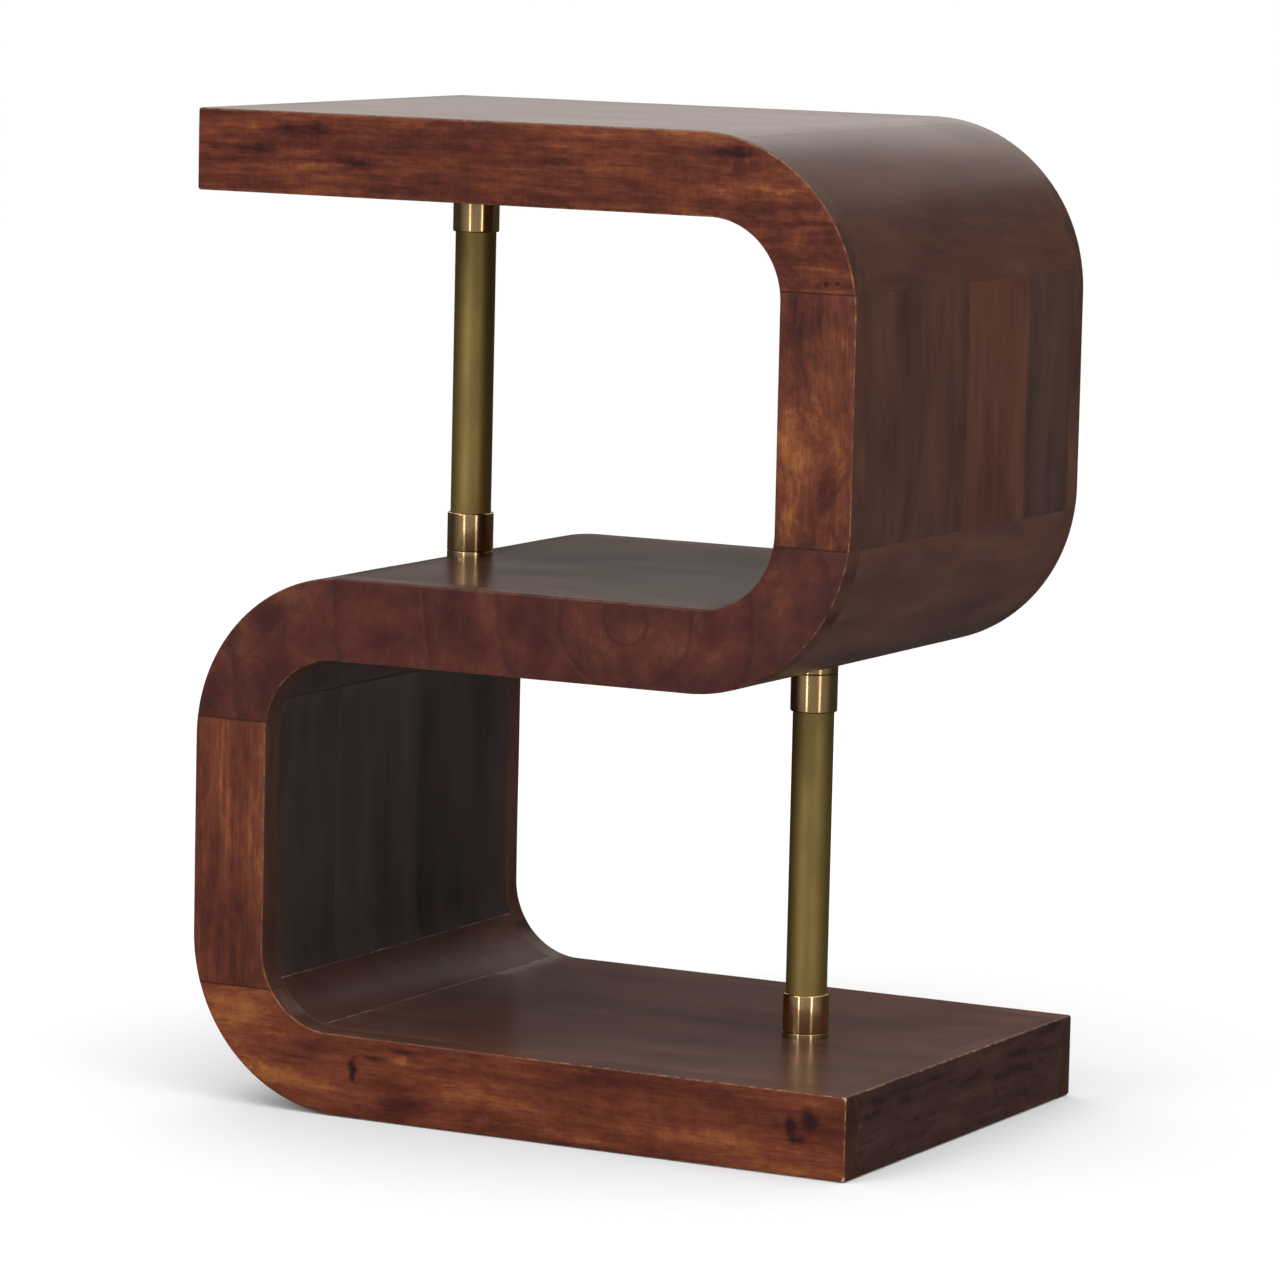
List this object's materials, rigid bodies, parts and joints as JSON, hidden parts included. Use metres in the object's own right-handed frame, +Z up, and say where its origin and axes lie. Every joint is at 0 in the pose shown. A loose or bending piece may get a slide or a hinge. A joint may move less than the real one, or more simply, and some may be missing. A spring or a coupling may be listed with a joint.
{
  "type": "side table",
  "caption": "S-shaped boxed wooden side table with rounded corners, an open upper and lower bay, and brass posts that hold the bays open.",
  "frame": {"origin": "on the floor, under the middle of the table's box", "axes": "+X to the right across the width, +Y from the front to the back through the depth, +Z up"},
  "size_m": [0.447, 0.315, 0.6],
  "materials": {
    "edge_wood": "stained reddish chestnut, lacquered, semi-gloss",
    "face_wood": "stained dark brown, lacquered, semi-gloss",
    "core_wood": "raw, unfinished",
    "satin_brass": "satin, aged",
    "polished_brass": "polished",
    "steel": "zinc plated"
  },
  "bodies": {
    "root": {"back_base_left_dowel": "core_wood", "back_base_rail": "edge_wood", "back_left_stile": "edge_wood", "back_middle_rail": "edge_wood", "back_right_stile": "edge_wood", "back_shelf_left_dowel": "core_wood", "back_shelf_right_dowel": "core_wood", "back_top_rail": "edge_wood", "back_top_right_dowel": "core_wood", "base_end_cap": "face_wood", "base_left_corner_strip": "face_wood", "base_left_outer_corner": "face_wood", "base_lower_panel": "face_wood", "base_upper_panel": "face_wood", "front_base_left_dowel": "core_wood", "front_base_rail": "edge_wood", "front_left_stile": "edge_wood", "front_middle_rail": "edge_wood", "front_right_stile": "edge_wood", "front_shelf_left_dowel": "core_wood", "front_shelf_right_dowel": "core_wood", "front_top_rail": "edge_wood", "front_top_right_dowel": "core_wood", "left_inner_stave_1": "face_wood", "left_inner_stave_2": "face_wood", "left_inner_stave_3": "face_wood", "left_outer_panel": "face_wood", "lower_post": "satin_brass", "lower_post_foot_block": "core_wood", "lower_post_foot_collar": "polished_brass", "lower_post_foot_flange": "polished_brass", "lower_post_foot_screw": "steel", "lower_post_head_block": "core_wood", "lower_post_head_collar": "polished_brass", "lower_post_head_flange": "polished_brass", "lower_post_head_screw": "steel", "right_inner_panel": "face_wood", "right_outer_stave_1": "face_wood", "right_outer_stave_2": "face_wood", "right_outer_stave_3": "face_wood", "shelf_left_corner_strip": "face_wood", "shelf_left_outer_corner": "face_wood", "shelf_lower_panel": "face_wood", "shelf_right_corner_strip": "face_wood", "shelf_right_outer_corner": "face_wood", "shelf_upper_panel": "face_wood", "top_end_cap": "face_wood", "top_lower_panel": "face_wood", "top_right_corner_strip": "face_wood", "top_right_outer_corner": "face_wood", "top_upper_panel": "face_wood", "upper_post": "satin_brass", "upper_post_foot_block": "core_wood", "upper_post_foot_collar": "polished_brass", "upper_post_foot_flange": "polished_brass", "upper_post_foot_screw": "steel", "upper_post_head_block": "core_wood", "upper_post_head_collar": "polished_brass", "upper_post_head_flange": "polished_brass", "upper_post_head_screw": "steel"}
  },
  "joints": []
}
